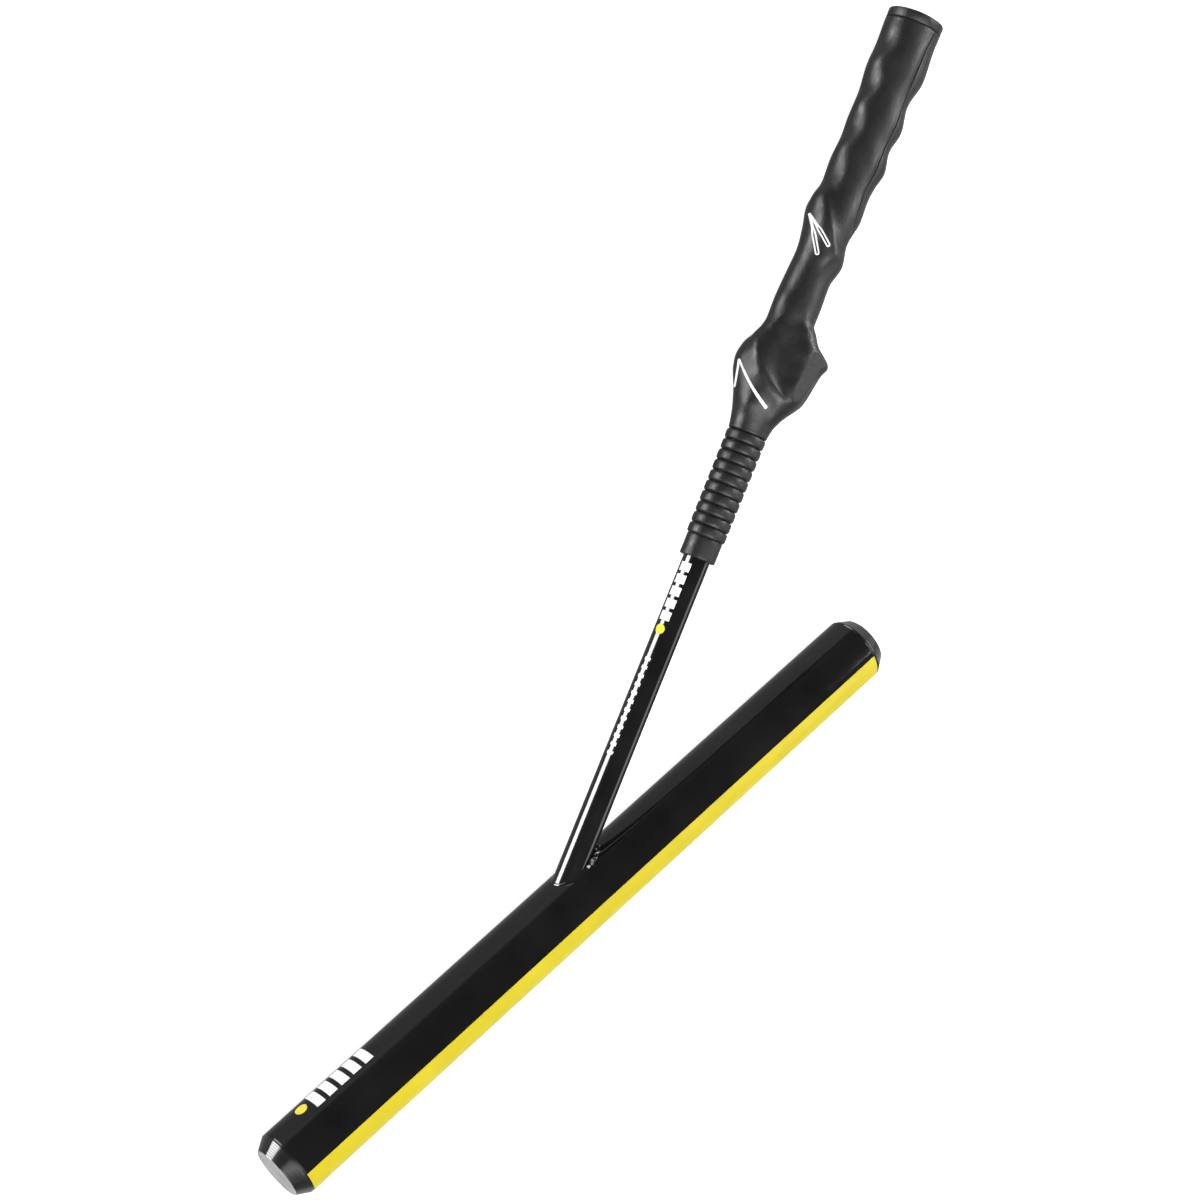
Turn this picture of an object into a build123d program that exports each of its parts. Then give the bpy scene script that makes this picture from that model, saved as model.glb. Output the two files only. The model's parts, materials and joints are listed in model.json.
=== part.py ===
"""Weighted golf swing trainer, in millimetres, +Z up.

A short heavy steel tube is crossed at a slant by a slim steel shaft welded to its side, and the shaft
carries a moulded hand-position grip.  The trainer lies flat with both axes level: +X runs along the shaft
towards the butt of the grip, and the origin is on the floor under the middle of the overall box.
"""
import os
from math import cos, pi, radians, sin

from build123d import *

# ---------------------------------------------------------------- driving dimensions
cross_angle = 34.0  # between the tube's axis and the shaft's axis, degrees

tube_diameter = 31.75  # 1-1/4 inch steel tube
tube_wall = 3.0
tube_length = 360.0
tube_end_round = 0.5
lower_arm = 155.5  # from the axes' crossing to the tube's lower end

cap_head_length = 6.9  # stands proud of the tube's end
cap_land = 0.8  # straight rim before the cone starts
cap_face_radius = 12.1
cap_spigot_length = 18.0
cap_spigot_wall = 1.6
cap_fin_depth = 0.9
cap_fin_count = 4
cap_edge_round = 0.4
cap_rim_round = 0.2

shaft_diameter = 12.7  # 1/2 inch steel tube
shaft_wall = 1.25
butt_reach = 441.3  # from the axes' crossing to the butt datum, just below the butt cap's rim
weld_size = 1.3
weld_round = 0.5

grip_length = 263.5  # from the butt datum to the end of the collar
grip_turn = 50.0  # the thumb side faces this far round the shaft from +Y towards +Z, degrees
tape_thickness = 0.2
tape_length = 250.0
butt_cap_depth = 3.7  # of its joint with the grip below the butt datum
butt_cap_rise = 0.8  # of its rim above the butt datum
butt_cap_radius = 13.1
butt_cap_dome = 1.0  # of its middle above its rim
butt_cap_offset = 0.6  # the butt is set a little towards the fingers
butt_cap_round = 0.4
butt_stem_length = 12.0
vent_radius = 0.9
shaft_end_depth = 5.0  # the shaft stops this far short of the butt datum

rib_count = 10
rib_pitch = 5.06
rib_radius = 9.3
rib_taper = 0.02  # each rib is this much smaller than the last
rib_groove_radius = 8.2
collar_length = 10.1
collar_radius = 8.4
collar_round = 0.6

stripe_width = 19.0  # 3/4 inch vinyl
stripe_start = 85.0  # round the tube from the shaft's side towards the top, degrees
stripe_thickness = 0.15

print_thickness = 0.08
mark_bars = 5
tube_mark_start = -133.0  # station from the crossing
tube_mark_pitch = 6.9
tube_bar_length = 4.6
tube_mark_angle = -26.0  # round the tube from the shaft's side towards the top, degrees
tube_mark_sweep = 42.0
tube_disc_station = -138.2
tube_disc_radius = 2.9
shaft_mark_start = 146.7
shaft_mark_pitch = 5.9
shaft_bar_length = 4.2
shaft_mark_angle = -12.0  # round the shaft from +Y towards +Z, degrees
shaft_mark_sweep = 50.0
shaft_disc_station = 142.4
shaft_disc_radius = 2.4
tick_count = 12
tick_start = 82.0
tick_pitch = 4.1
tick_length = 1.6
tick_sweep = 28.0

section_count = 50  # even steps from the butt cap to the ribs

guide_stroke = 1.7
guide_outline = 0.6
guide_depth = 0.5

# ---------------------------------------------------------------- worked-out sizes
tube_radius = tube_diameter / 2
tube_bore_radius = tube_radius - tube_wall
shaft_radius = shaft_diameter / 2
shaft_bore_radius = shaft_radius - shaft_wall
upper_arm = tube_length - lower_arm
cross_cos = cos(radians(cross_angle))
cross_sin = sin(radians(cross_angle))
rib_start = grip_length - collar_length - rib_count * rib_pitch  # from the butt datum
butt_top = butt_cap_rise + butt_cap_dome

# the overall box, from the rims of the end caps' faces and the top of the butt's dome
low_x = -(lower_arm + cap_head_length) * cross_cos - cap_face_radius * cross_sin
high_x = butt_reach + butt_top
low_y = -(upper_arm + cap_head_length) * cross_sin - cap_face_radius * cross_cos
high_y = (lower_arm + cap_head_length) * cross_sin + cap_face_radius * cross_cos

crossing = Vector(-(low_x + high_x) / 2, -(low_y + high_y) / 2, tube_radius)
up = Vector(0, 0, 1)
shaft_direction = Vector(1, 0, 0)
tube_direction = Vector(cross_cos, -cross_sin, 0)
shaft_side = Vector(cross_sin, cross_cos, 0)
to_thumb = Vector(0, cos(radians(grip_turn)), sin(radians(grip_turn)))
to_fingers = shaft_direction.cross(to_thumb)
butt_datum = crossing + shaft_direction * butt_reach


def tube_plane(station):
    """Square to the tube's axis: x to the shaft's side, y up, station counted from the crossing."""
    return Plane(crossing + tube_direction * station, x_dir=shaft_side, z_dir=tube_direction)


def shaft_plane(station):
    """Square to the shaft's axis: x to +Y, y up, station counted from the crossing."""
    return Plane(crossing + shaft_direction * station, x_dir=(0, 1, 0), z_dir=shaft_direction)


def grip_plane(depth):
    """Square to the shaft's axis, depth below the butt datum: x to the fingers, y to the thumb side."""
    return Plane(butt_datum - shaft_direction * depth, x_dir=to_fingers, z_dir=shaft_direction * -1)


def axis_plane(point, outward):
    """Holds the axis through point: x is the radius, y runs outward along the axis."""
    return Plane(point, x_dir=up, z_dir=up.cross(outward))


def finish(piece, name):
    piece.part.label = name
    export_step(piece.part, f"parts/{name}.step")


os.makedirs("parts", exist_ok=True)

# ---------------------------------------------------------------- weight tube
with BuildPart() as weight_tube:
    with BuildSketch(tube_plane(-lower_arm)):
        Circle(tube_radius)
        Circle(tube_bore_radius, mode=Mode.SUBTRACT)
    extrude(amount=tube_length)
    end_edges = weight_tube.edges().filter_by(GeomType.CIRCLE)
    fillet(end_edges.filter_by(lambda edge: edge.radius > tube_bore_radius + 1), tube_end_round)
finish(weight_tube, "weight_tube")


# ---------------------------------------------------------------- end caps
def end_cap(point, outward):
    """Pressed plug: a coned head outside the tube, a hollow finned spigot inside it."""
    fin_root = tube_bore_radius - cap_fin_depth
    spigot_bore = fin_root - cap_spigot_wall
    fin_pitch = cap_spigot_length / (cap_fin_count + 1)
    axis = Axis(point, outward)
    with BuildPart() as cap:
        with BuildSketch(axis_plane(point, outward)):
            with BuildLine():
                Polyline(
                    (0, cap_head_length),
                    (cap_face_radius, cap_head_length),
                    (tube_radius, cap_land),
                    (tube_radius, 0),
                    (fin_root, 0),
                    (fin_root, -cap_spigot_length),
                    (spigot_bore, -cap_spigot_length),
                    (spigot_bore, cap_land),
                    (0, cap_land),
                    close=True,
                )
            make_face()
        revolve(axis=axis)
        head_edges = cap.edges().filter_by(GeomType.CIRCLE)
        fillet(head_edges.filter_by(lambda edge: abs(edge.radius - cap_face_radius) < 0.01), cap_edge_round)
        rim_edges = cap.edges().filter_by(GeomType.CIRCLE)
        fillet(rim_edges.filter_by(lambda edge: abs(edge.radius - tube_radius) < 0.01), cap_rim_round)
        with BuildSketch(axis_plane(point, outward)):
            for fin in range(1, cap_fin_count + 1):
                with BuildLine():
                    Polyline(
                        (fin_root, -fin * fin_pitch),
                        (tube_bore_radius, -fin * fin_pitch),
                        (tube_bore_radius, -fin * fin_pitch - 0.5),
                        (fin_root, -fin * fin_pitch - 1.5),
                        close=True,
                    )
                make_face()
        revolve(axis=axis)
    return cap


lower_end_cap = end_cap(crossing - tube_direction * lower_arm, tube_direction * -1)
finish(lower_end_cap, "lower_end_cap")

upper_end_cap = end_cap(crossing + tube_direction * upper_arm, tube_direction)
finish(upper_end_cap, "upper_end_cap")

# ---------------------------------------------------------------- shaft, coped round the weight tube
with BuildPart() as shaft:
    with BuildSketch(shaft_plane(0)):
        Circle(shaft_radius)
        Circle(shaft_bore_radius, mode=Mode.SUBTRACT)
    extrude(amount=butt_reach - shaft_end_depth)
    with BuildSketch(tube_plane(-lower_arm)):
        Circle(tube_radius)
    extrude(amount=tube_length, mode=Mode.SUBTRACT)
finish(shaft, "shaft")

# ---------------------------------------------------------------- weld bead, all round the shaft
weld_reach = 2 * (tube_radius + weld_size) / cross_sin
with BuildPart() as weld_bead:
    with BuildSketch(shaft_plane(0)):
        Circle(shaft_radius + weld_size)
    extrude(amount=weld_reach)
    with BuildSketch(tube_plane(-lower_arm)):
        Circle(tube_radius + weld_size)
    extrude(amount=tube_length, mode=Mode.INTERSECT)
    fillet(weld_bead.edges().filter_by(GeomType.BSPLINE), weld_round)
    with BuildSketch(tube_plane(-lower_arm)):
        Circle(tube_radius)
    extrude(amount=tube_length, mode=Mode.SUBTRACT)
    with BuildSketch(shaft_plane(0)):
        Circle(shaft_radius)
    extrude(amount=weld_reach, mode=Mode.SUBTRACT)
finish(weld_bead, "weld_bead")

# ---------------------------------------------------------------- stripe and printed marks on the tubes
def ring_sector(radius, thickness, start, sweep):
    """Closed outline of a thin curved skin, angles in degrees."""
    with BuildLine() as outline:
        inner = CenterArc((0, 0), radius, start, sweep)
        outer = CenterArc((0, 0), radius + thickness, start, sweep)
        Line(inner @ 0, outer @ 0)
        Line(inner @ 1, outer @ 1)
    make_face(outline.edges())


def degrees_across(width, radius):
    return width / radius * 180 / pi


with BuildPart() as alignment_stripe:
    with BuildSketch(tube_plane(tube_end_round - lower_arm)):
        ring_sector(tube_radius, stripe_thickness, stripe_start, degrees_across(stripe_width, tube_radius))
    extrude(amount=tube_length - 2 * tube_end_round)
finish(alignment_stripe, "alignment_stripe")


def bar_row(plane_at, radius, start_angle, sweep, first, pitch, count, bar_length):
    """A row of short printed bars along a tube, each wrapped round its surface."""
    with BuildPart() as row:
        for bar in range(count):
            with BuildSketch(plane_at(first + bar * pitch)):
                ring_sector(radius, print_thickness, start_angle, sweep)
            extrude(amount=bar_length)
    return row


def printed_disc(station_plane, radius, angle, disc_radius):
    """A round spot of print wrapped on the tube's surface at the given angle."""
    outward = station_plane.x_dir.rotate(Axis((0, 0, 0), station_plane.z_dir), angle)
    spot_plane = Plane(station_plane.origin, x_dir=station_plane.z_dir, z_dir=outward)
    with BuildPart() as spot:
        with BuildSketch(station_plane.offset(-disc_radius)):
            Circle(radius + print_thickness)
            Circle(radius, mode=Mode.SUBTRACT)
        extrude(amount=2 * disc_radius)
        with BuildSketch(spot_plane):
            Circle(disc_radius)
        extrude(amount=2 * radius, mode=Mode.INTERSECT)
    return spot


tube_mark_white = bar_row(
    tube_plane, tube_radius, tube_mark_angle, tube_mark_sweep,
    tube_mark_start, tube_mark_pitch, mark_bars, tube_bar_length,
)
finish(tube_mark_white, "tube_mark_white")

tube_mark_middle = tube_mark_angle + tube_mark_sweep / 2
tube_mark_yellow = printed_disc(
    tube_plane(tube_disc_station), tube_radius, tube_mark_middle, tube_disc_radius
)
finish(tube_mark_yellow, "tube_mark_yellow")

shaft_mark_white = bar_row(
    shaft_plane, shaft_radius, shaft_mark_angle, shaft_mark_sweep,
    shaft_mark_start, shaft_mark_pitch, mark_bars, shaft_bar_length,
)
finish(shaft_mark_white, "shaft_mark_white")

shaft_mark_middle = shaft_mark_angle + shaft_mark_sweep / 2
shaft_mark_yellow = printed_disc(
    shaft_plane(shaft_disc_station), shaft_radius, shaft_mark_middle, shaft_disc_radius
)
finish(shaft_mark_yellow, "shaft_mark_yellow")

tick_angle = shaft_mark_middle - tick_sweep / 2
shaft_tick_row = bar_row(
    shaft_plane, shaft_radius, tick_angle, tick_sweep, tick_start, tick_pitch, tick_count, tick_length
)
finish(shaft_tick_row, "shaft_tick_row")

# ---------------------------------------------------------------- grip
# How far the grip's outside stands from the shaft's axis on its four sides.  Each side is a smooth curve
# through a few (depth below the butt datum, reach) points at its crests, hollows and shoulders.
palm_side = [
    (3, 12.5), (16, 12.1), (26, 12.5), (41, 11.3), (52, 11.5), (61, 11.1), (73, 11.8), (83, 11.4), (97, 13.7),
    (107, 11.8), (117, 10.6), (130, 11.3), (141, 11.75), (150, 11.6), (155, 12.1), (165, 17.2), (171, 18.3),
    (176, 17.5), (187, 13.1), (197.5, 10), (rib_start, 9.2),
]
finger_side = [
    (3, 13.7), (9, 13.6), (25, 14.5), (38.5, 12.1), (50.5, 13.8), (60.5, 12.1), (70.5, 13.7), (78, 12.1),
    (85, 11.4), (94.5, 11.8), (106.5, 10.1), (117, 11.7), (127.5, 9.6), (140, 10), (146.5, 10), (153, 13.9),
    (162, 22.8), (166, 21.3), (181, 18.6), (192, 12.1), (197.5, 9.9), (rib_start, 9.2),
]
thumb_side = [
    (3, 13.1), (61, 12.3), (85, 12.2), (97, 12.6), (117, 11.6), (147, 11.4), (162, 13), (171, 13.6),
    (182, 13), (197.5, 10), (rib_start, 9.2),
]
back_side = [
    (3, 13.1), (25, 13.6), (39, 12.4), (51, 13.2), (61, 12.2), (72, 13), (85, 12), (117, 11.6), (147, 11.5),
    (162, 13.4), (171, 13.9), (182, 13.2), (197.5, 10), (rib_start, 9.2),
]


def steepness(profile, index):
    """Slope of the curve at one of its points: level on a crest, in a hollow and at both ends."""
    if index in (0, len(profile) - 1):
        return 0
    (x0, y0), (x1, y1), (x2, y2) = profile[index - 1 : index + 2]
    before = (y1 - y0) / (x1 - x0)
    after = (y2 - y1) / (x2 - x1)
    if before * after <= 0:
        return 0
    return 2 * before * after / (before + after)


def reach(profile, depth):
    """The height of a smooth curve through the profile's points, without overshoot."""
    index = max(i for i in range(len(profile) - 1) if profile[i][0] <= depth + 1e-9)
    (x0, y0), (x1, y1) = profile[index : index + 2]
    span = x1 - x0
    t = (depth - x0) / span
    rise = t * t * (3 - 2 * t)
    leave = t * (1 - t) ** 2 * span * steepness(profile, index)
    arrive = t * t * (1 - t) * span * steepness(profile, index + 1)
    return y0 + (y1 - y0) * rise + leave - arrive


def grip_section(palm, fingers, thumb, back):
    """A closed smooth outline that reaches a different distance to each of the four sides."""
    points = []
    for step in range(8):
        x = cos(step * pi / 4)
        y = sin(step * pi / 4)
        points.append((x * (fingers if x > 0 else palm), y * (thumb if y > 0 else back)))
    with BuildLine() as outline:
        Spline(*points, periodic=True)
    make_face(outline.edges())


def hand_form(inset):
    """The moulded hand part of the grip, from the butt cap to the ribs, set in from its outside."""
    length = rib_start - butt_cap_depth
    with BuildPart() as form:
        for section in range(section_count + 1):
            depth = butt_cap_depth + length * section / section_count
            sides = [reach(side, depth) - inset for side in (palm_side, finger_side, thumb_side, back_side)]
            with BuildSketch(grip_plane(depth)):
                grip_section(*sides)
        loft()
    return form


def guide_mark(strokes, hollow):
    """White lines inlaid flush in the grip: straight strokes seen from the thumb side."""
    stroke_plane = Plane(butt_datum, x_dir=shaft_direction * -1, z_dir=to_thumb)
    with BuildPart() as mark:
        with BuildSketch(stroke_plane):
            for start, end in strokes:
                SlotArc(Edge.make_line(start, end), guide_stroke)
            for start, end in strokes:
                if hollow:
                    SlotArc(Edge.make_line(start, end), guide_stroke - 2 * guide_outline, mode=Mode.SUBTRACT)
        extrude(amount=2 * butt_cap_radius)
        add(outer_form.part, mode=Mode.INTERSECT)
        add(inner_form.part, mode=Mode.SUBTRACT)
    return mark


outer_form = hand_form(0)
inner_form = hand_form(guide_depth)

# strokes run from their shared tip: (depth below the butt datum, offset towards the fingers)
upper_tip = (101.5, -11.0)
upper_guide_mark = guide_mark([(upper_tip, (117.0, -1.6)), (upper_tip, (112.0, 1.5))], hollow=True)
finish(upper_guide_mark, "upper_guide_mark")

lower_tip = (173.3, -16.2)
lower_guide_mark = guide_mark([(lower_tip, (190.0, 3.4)), (lower_tip, (185.5, -13.2))], hollow=False)
finish(lower_guide_mark, "lower_guide_mark")

grip_bore_radius = shaft_radius + tape_thickness
shaft_end = butt_reach - shaft_end_depth
with BuildPart() as grip_body:
    add(outer_form.part)
    with BuildSketch(axis_plane(butt_datum, shaft_direction * -1)):
        with BuildLine():
            Line((0, rib_start), (rib_groove_radius, rib_start))
            for rib in range(rib_count):
                low = rib_start + rib * rib_pitch
                rib_top = rib_radius - rib * rib_taper
                ThreePointArc(
                    (rib_groove_radius, low),
                    (rib_top, low + rib_pitch / 2),
                    (rib_groove_radius, low + rib_pitch),
                )
            collar_top = grip_length - collar_length
            Polyline(
                (rib_groove_radius, collar_top),
                (collar_radius, collar_top),
                (collar_radius, grip_length),
                (0, grip_length),
                (0, rib_start),
            )
        make_face()
    revolve(axis=Axis(butt_datum, shaft_direction))
    with BuildSketch(shaft_plane(butt_reach - grip_length)):
        Circle(grip_bore_radius)
    extrude(amount=grip_length - shaft_end_depth, mode=Mode.SUBTRACT)
    with BuildSketch(shaft_plane(shaft_end)):
        Circle(shaft_bore_radius)
    extrude(amount=shaft_end_depth, mode=Mode.SUBTRACT)
    add(upper_guide_mark.part, mode=Mode.SUBTRACT)
    add(lower_guide_mark.part, mode=Mode.SUBTRACT)
finish(grip_body, "grip_body")

with BuildPart() as grip_tape:
    with BuildSketch(shaft_plane(shaft_end)):
        Circle(grip_bore_radius)
        Circle(shaft_radius, mode=Mode.SUBTRACT)
    extrude(amount=-tape_length)
finish(grip_tape, "grip_tape")

# ---------------------------------------------------------------- butt cap
cap_center = butt_datum + to_fingers * butt_cap_offset
with BuildPart() as grip_butt_cap:
    with BuildSketch(axis_plane(cap_center, shaft_direction)) as cap_profile:
        with BuildLine():
            TangentArc((0, butt_top), (butt_cap_radius, butt_cap_rise), tangent=(1, 0))
            Polyline(
                (butt_cap_radius, butt_cap_rise),
                (butt_cap_radius, -butt_cap_depth),
                (0, -butt_cap_depth),
                (0, butt_top),
            )
        make_face()
        rim_corners = cap_profile.vertices().sort_by(Axis.X)[-2:]
        fillet(rim_corners.sort_by(Axis.Y)[-1], butt_cap_round)
    revolve(axis=Axis(cap_center, shaft_direction))
    with BuildSketch(shaft_plane(butt_reach - butt_cap_depth)):
        Circle(shaft_bore_radius)
    extrude(amount=-butt_stem_length)
    with BuildSketch(shaft_plane(butt_reach + butt_top)):
        Circle(vent_radius)
    extrude(amount=-butt_top - butt_cap_depth - butt_stem_length, mode=Mode.SUBTRACT)
finish(grip_butt_cap, "grip_butt_cap")
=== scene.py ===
"""Studio scene of the golf swing trainer, in metres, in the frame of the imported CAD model.

The two steel tubes, the stripe, the printed marks and the tape are the CAD nodes with finishes of their
own.  The moulded grip, its guide marks, the butt cap, the end caps and the weld bead are finer meshes
that stand for their CAD nodes.
"""

import json
from math import atan2, cos, degrees, pi, radians, sin, tan

import bpy
import numpy as np
from mathutils import Matrix, Vector, noise


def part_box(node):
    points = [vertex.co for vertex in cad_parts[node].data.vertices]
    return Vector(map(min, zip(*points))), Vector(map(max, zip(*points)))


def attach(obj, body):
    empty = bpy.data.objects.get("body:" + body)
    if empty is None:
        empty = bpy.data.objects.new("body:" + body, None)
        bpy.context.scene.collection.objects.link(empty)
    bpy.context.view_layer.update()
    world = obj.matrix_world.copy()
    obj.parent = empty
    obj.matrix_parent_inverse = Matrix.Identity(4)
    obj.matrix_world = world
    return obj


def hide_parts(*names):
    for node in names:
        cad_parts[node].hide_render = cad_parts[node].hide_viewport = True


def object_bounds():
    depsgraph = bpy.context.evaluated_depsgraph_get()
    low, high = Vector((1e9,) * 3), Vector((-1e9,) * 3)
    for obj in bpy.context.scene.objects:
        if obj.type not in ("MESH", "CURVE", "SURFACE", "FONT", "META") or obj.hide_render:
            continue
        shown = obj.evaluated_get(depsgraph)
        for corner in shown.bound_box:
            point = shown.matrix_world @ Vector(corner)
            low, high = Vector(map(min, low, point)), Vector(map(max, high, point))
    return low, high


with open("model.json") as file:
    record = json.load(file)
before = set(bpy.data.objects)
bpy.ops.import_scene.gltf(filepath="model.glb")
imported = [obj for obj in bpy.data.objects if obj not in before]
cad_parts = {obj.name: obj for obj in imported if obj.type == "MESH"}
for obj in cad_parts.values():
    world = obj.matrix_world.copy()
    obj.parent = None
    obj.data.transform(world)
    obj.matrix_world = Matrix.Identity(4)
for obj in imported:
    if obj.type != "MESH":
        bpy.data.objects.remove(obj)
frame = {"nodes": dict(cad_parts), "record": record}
cad_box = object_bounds()
nodes = frame["nodes"]
mm = 0.001
micron = 0.000001

# ---------------------------------------------------------------- places and sizes
grip_turn = radians(50.0)  # the thumb side faces this far round the shaft from +Y towards +Z
butt_cap_depth = 3.7 * mm  # of its joint with the grip below the butt datum
butt_cap_rise = 0.8 * mm  # of its rim above the butt datum
shaft_end_depth = 5.0 * mm  # the shaft stops this far short of the butt datum

up = Vector((0, 0, 1))
shaft_direction = Vector((1, 0, 0))
shaft_low, shaft_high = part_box("shaft")
shaft_radius = (shaft_high.z - shaft_low.z) / 2
axis_y = (shaft_low.y + shaft_high.y) / 2
axis_z = (shaft_low.z + shaft_high.z) / 2

grip_low, grip_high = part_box("grip_body")
butt_datum = Vector((grip_high.x + butt_cap_depth, axis_y, axis_z))
grip_length = butt_datum.x - grip_low.x
to_thumb = Vector((0, cos(grip_turn), sin(grip_turn)))
to_fingers = shaft_direction.cross(to_thumb)
tape_low, tape_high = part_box("grip_tape")
bore_radius = (tape_high.z - tape_low.z) / 2
stem_radius = shaft_radius - 1.25 * mm

tube_low, tube_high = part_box("weight_tube")
tube_radius = (tube_high.z - tube_low.z) / 2
mounts = {mount["name"]: mount for mount in frame["record"]["mounts"]}
lower_face = Vector(mounts["lower_end_face"]["pos_m"])
upper_face = Vector(mounts["upper_end_face"]["pos_m"])
tube_direction = (upper_face - lower_face).normalized()
tube_side = up.cross(tube_direction)
crossing = lower_face + tube_direction * ((axis_y - lower_face.y) / tube_direction.y)
cap_head = 6.9 * mm

# ---------------------------------------------------------------- finishes


class Finish:
    """A Principled material with the few node recipes that the finishes below share."""

    def __init__(self, name, color, roughness, **sockets):
        self.material = bpy.data.materials.new(name)
        self.material.use_nodes = True
        self.tree = self.material.node_tree
        self.shader = self.tree.nodes["Principled BSDF"]
        self.shader.inputs["Base Color"].default_value = (*color, 1)
        self.shader.inputs["Roughness"].default_value = roughness
        for socket, value in sockets.items():
            self.shader.inputs[socket.replace("_", " ")].default_value = value
        self.place = self.add("ShaderNodeTexCoord").outputs["Object"]

    def add(self, kind, **values):
        node = self.tree.nodes.new(kind)
        for name, value in values.items():
            setattr(node, name, value)
        return node

    def link(self, source, target):
        self.tree.links.new(source, target)

    def noise(self, per_metre, detail):
        """Cloudy values round 0.5, with features about 1/per_metre across."""
        texture = self.add("ShaderNodeTexNoise")
        texture.inputs["Scale"].default_value = per_metre
        texture.inputs["Detail"].default_value = detail
        self.link(self.place, texture.inputs["Vector"])
        return texture.outputs["Fac"]

    def cells(self, per_metre):
        """Pebbles: the distance from scattered points, about 1/per_metre apart."""
        texture = self.add("ShaderNodeTexVoronoi", feature="F1")
        texture.inputs["Scale"].default_value = per_metre
        self.link(self.place, texture.inputs["Vector"])
        return texture.outputs["Distance"]

    def spread(self, value, low, high, new_low, new_high):
        """Maps low..high to new_low..new_high, clamped."""
        node = self.add("ShaderNodeMapRange")
        ends = {"From Min": low, "From Max": high, "To Min": new_low, "To Max": new_high}
        for name, number in ends.items():
            node.inputs[name].default_value = number
        self.link(value, node.inputs["Value"])
        return node.outputs["Result"]

    def color(self, value, *stops):
        """Base colour from a ramp of (place, colour) stops."""
        ramp = self.add("ShaderNodeValToRGB")
        elements = ramp.color_ramp.elements
        while len(elements) < len(stops):
            elements.new(0.5)
        for element, (place, color) in zip(elements, stops):
            element.position = place
            element.color = (*color, 1)
        self.link(value, ramp.inputs["Fac"])
        self.link(ramp.outputs["Color"], self.shader.inputs["Base Color"])

    def roughness(self, value, low, high):
        """Roughness from low to high as the value goes from 0.3 to 0.7."""
        self.link(self.spread(value, 0.3, 0.7, low, high), self.shader.inputs["Roughness"])

    def bumps(self, *layers):
        """Stacks (height, distance in metres) layers of relief."""
        below = None
        for height, distance in layers:
            bump = self.add("ShaderNodeBump")
            bump.inputs["Strength"].default_value = 1.0
            bump.inputs["Distance"].default_value = distance
            self.link(height, bump.inputs["Height"])
            if below is not None:
                self.link(below, bump.inputs["Normal"])
            below = bump.outputs["Normal"]
        self.link(below, self.shader.inputs["Normal"])


def gloss_paint(name, refraction):
    """High gloss black enamel over steel: a faint orange peel, drawn-tube waviness and dust."""
    finish = Finish(name, (0.006, 0.006, 0.0063), 0.08, IOR=refraction)
    clouds = finish.noise(38, 3)
    finish.color(clouds, (0.35, (0.0045, 0.0045, 0.0048)), (0.65, (0.0075, 0.0075, 0.008)))
    finish.roughness(finish.noise(160, 4), 0.05, 0.12)
    finish.bumps((finish.noise(420, 1), 12 * micron), (finish.noise(60, 1), 40 * micron))
    return finish.material


def cap_plastic():
    """Glossy moulded black plastic; its turned rings are in the mesh."""
    finish = Finish("gloss black cap plastic", (0.012, 0.012, 0.0125), 0.14, IOR=1.5)
    finish.color(finish.noise(90, 3), (0.35, (0.009, 0.009, 0.0095)), (0.65, (0.016, 0.016, 0.017)))
    finish.roughness(finish.noise(700, 3), 0.05, 0.11)
    finish.bumps((finish.noise(2500, 2), 4 * micron),)
    return finish.material


def cap_face():
    """The cap's flat outer face: satin, with a light grey base colour that is a painted reflection."""
    finish = Finish("satin cap face with painted reflection", (0.27, 0.27, 0.273), 0.34, IOR=1.5)
    finish.color(finish.noise(120, 4), (0.35, (0.23, 0.23, 0.233)), (0.65, (0.31, 0.31, 0.314)))
    finish.roughness(finish.noise(500, 3), 0.28, 0.42)
    finish.bumps((finish.noise(3000, 2), 6 * micron),)
    return finish.material


def yellow_vinyl():
    """Smooth satin tape, a little uneven where it follows the tube."""
    finish = Finish("yellow vinyl", (0.49, 0.402, 0.018), 0.38, IOR=1.35)
    finish.color(
        finish.noise(55, 4),
        (0.3, (0.425, 0.350, 0.014)),
        (0.55, (0.448, 0.370, 0.016)),
        (0.75, (0.472, 0.390, 0.021)),
    )
    finish.roughness(finish.noise(240, 3), 0.32, 0.44)
    finish.bumps((finish.noise(900, 2), 8 * micron), (finish.noise(80, 2), 30 * micron))
    return finish.material


def screen_print(name, color):
    """Opaque ink with a fine tooth and slightly uneven cover."""
    finish = Finish(name, color, 0.45, IOR=1.5)
    thin = tuple(0.9 * part for part in color)
    finish.color(finish.noise(900, 3), (0.35, thin), (0.6, color))
    finish.roughness(finish.noise(1500, 2), 0.38, 0.52)
    finish.bumps((finish.noise(5000, 2), 6 * micron),)
    return finish.material


def grip_rubber():
    """Fine matte moulded rubber: a light pebble grain under an uneven sheen."""
    finish = Finish("grip rubber", (0.0095, 0.0095, 0.0097), 0.45, IOR=1.45)
    finish.color(finish.noise(70, 4), (0.3, (0.0075, 0.0075, 0.0077)), (0.7, (0.012, 0.012, 0.0122)))
    finish.roughness(finish.noise(220, 4), 0.40, 0.50)
    pebbles, grain, waves = finish.cells(1000), finish.noise(3600, 2), finish.noise(90, 2)
    finish.bumps((pebbles, 50 * micron), (grain, 20 * micron), (waves, 60 * micron))
    return finish.material


def paper_tape():
    """Creased cream paper tape under the grip."""
    finish = Finish("double-sided tape", (0.62, 0.55, 0.4), 0.8)
    finish.color(finish.noise(300, 4), (0.3, (0.56, 0.49, 0.34)), (0.7, (0.66, 0.59, 0.44)))
    finish.roughness(finish.noise(900, 2), 0.7, 0.9)
    finish.bumps((finish.noise(2500, 3), 20 * micron),)
    return finish.material


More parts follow.
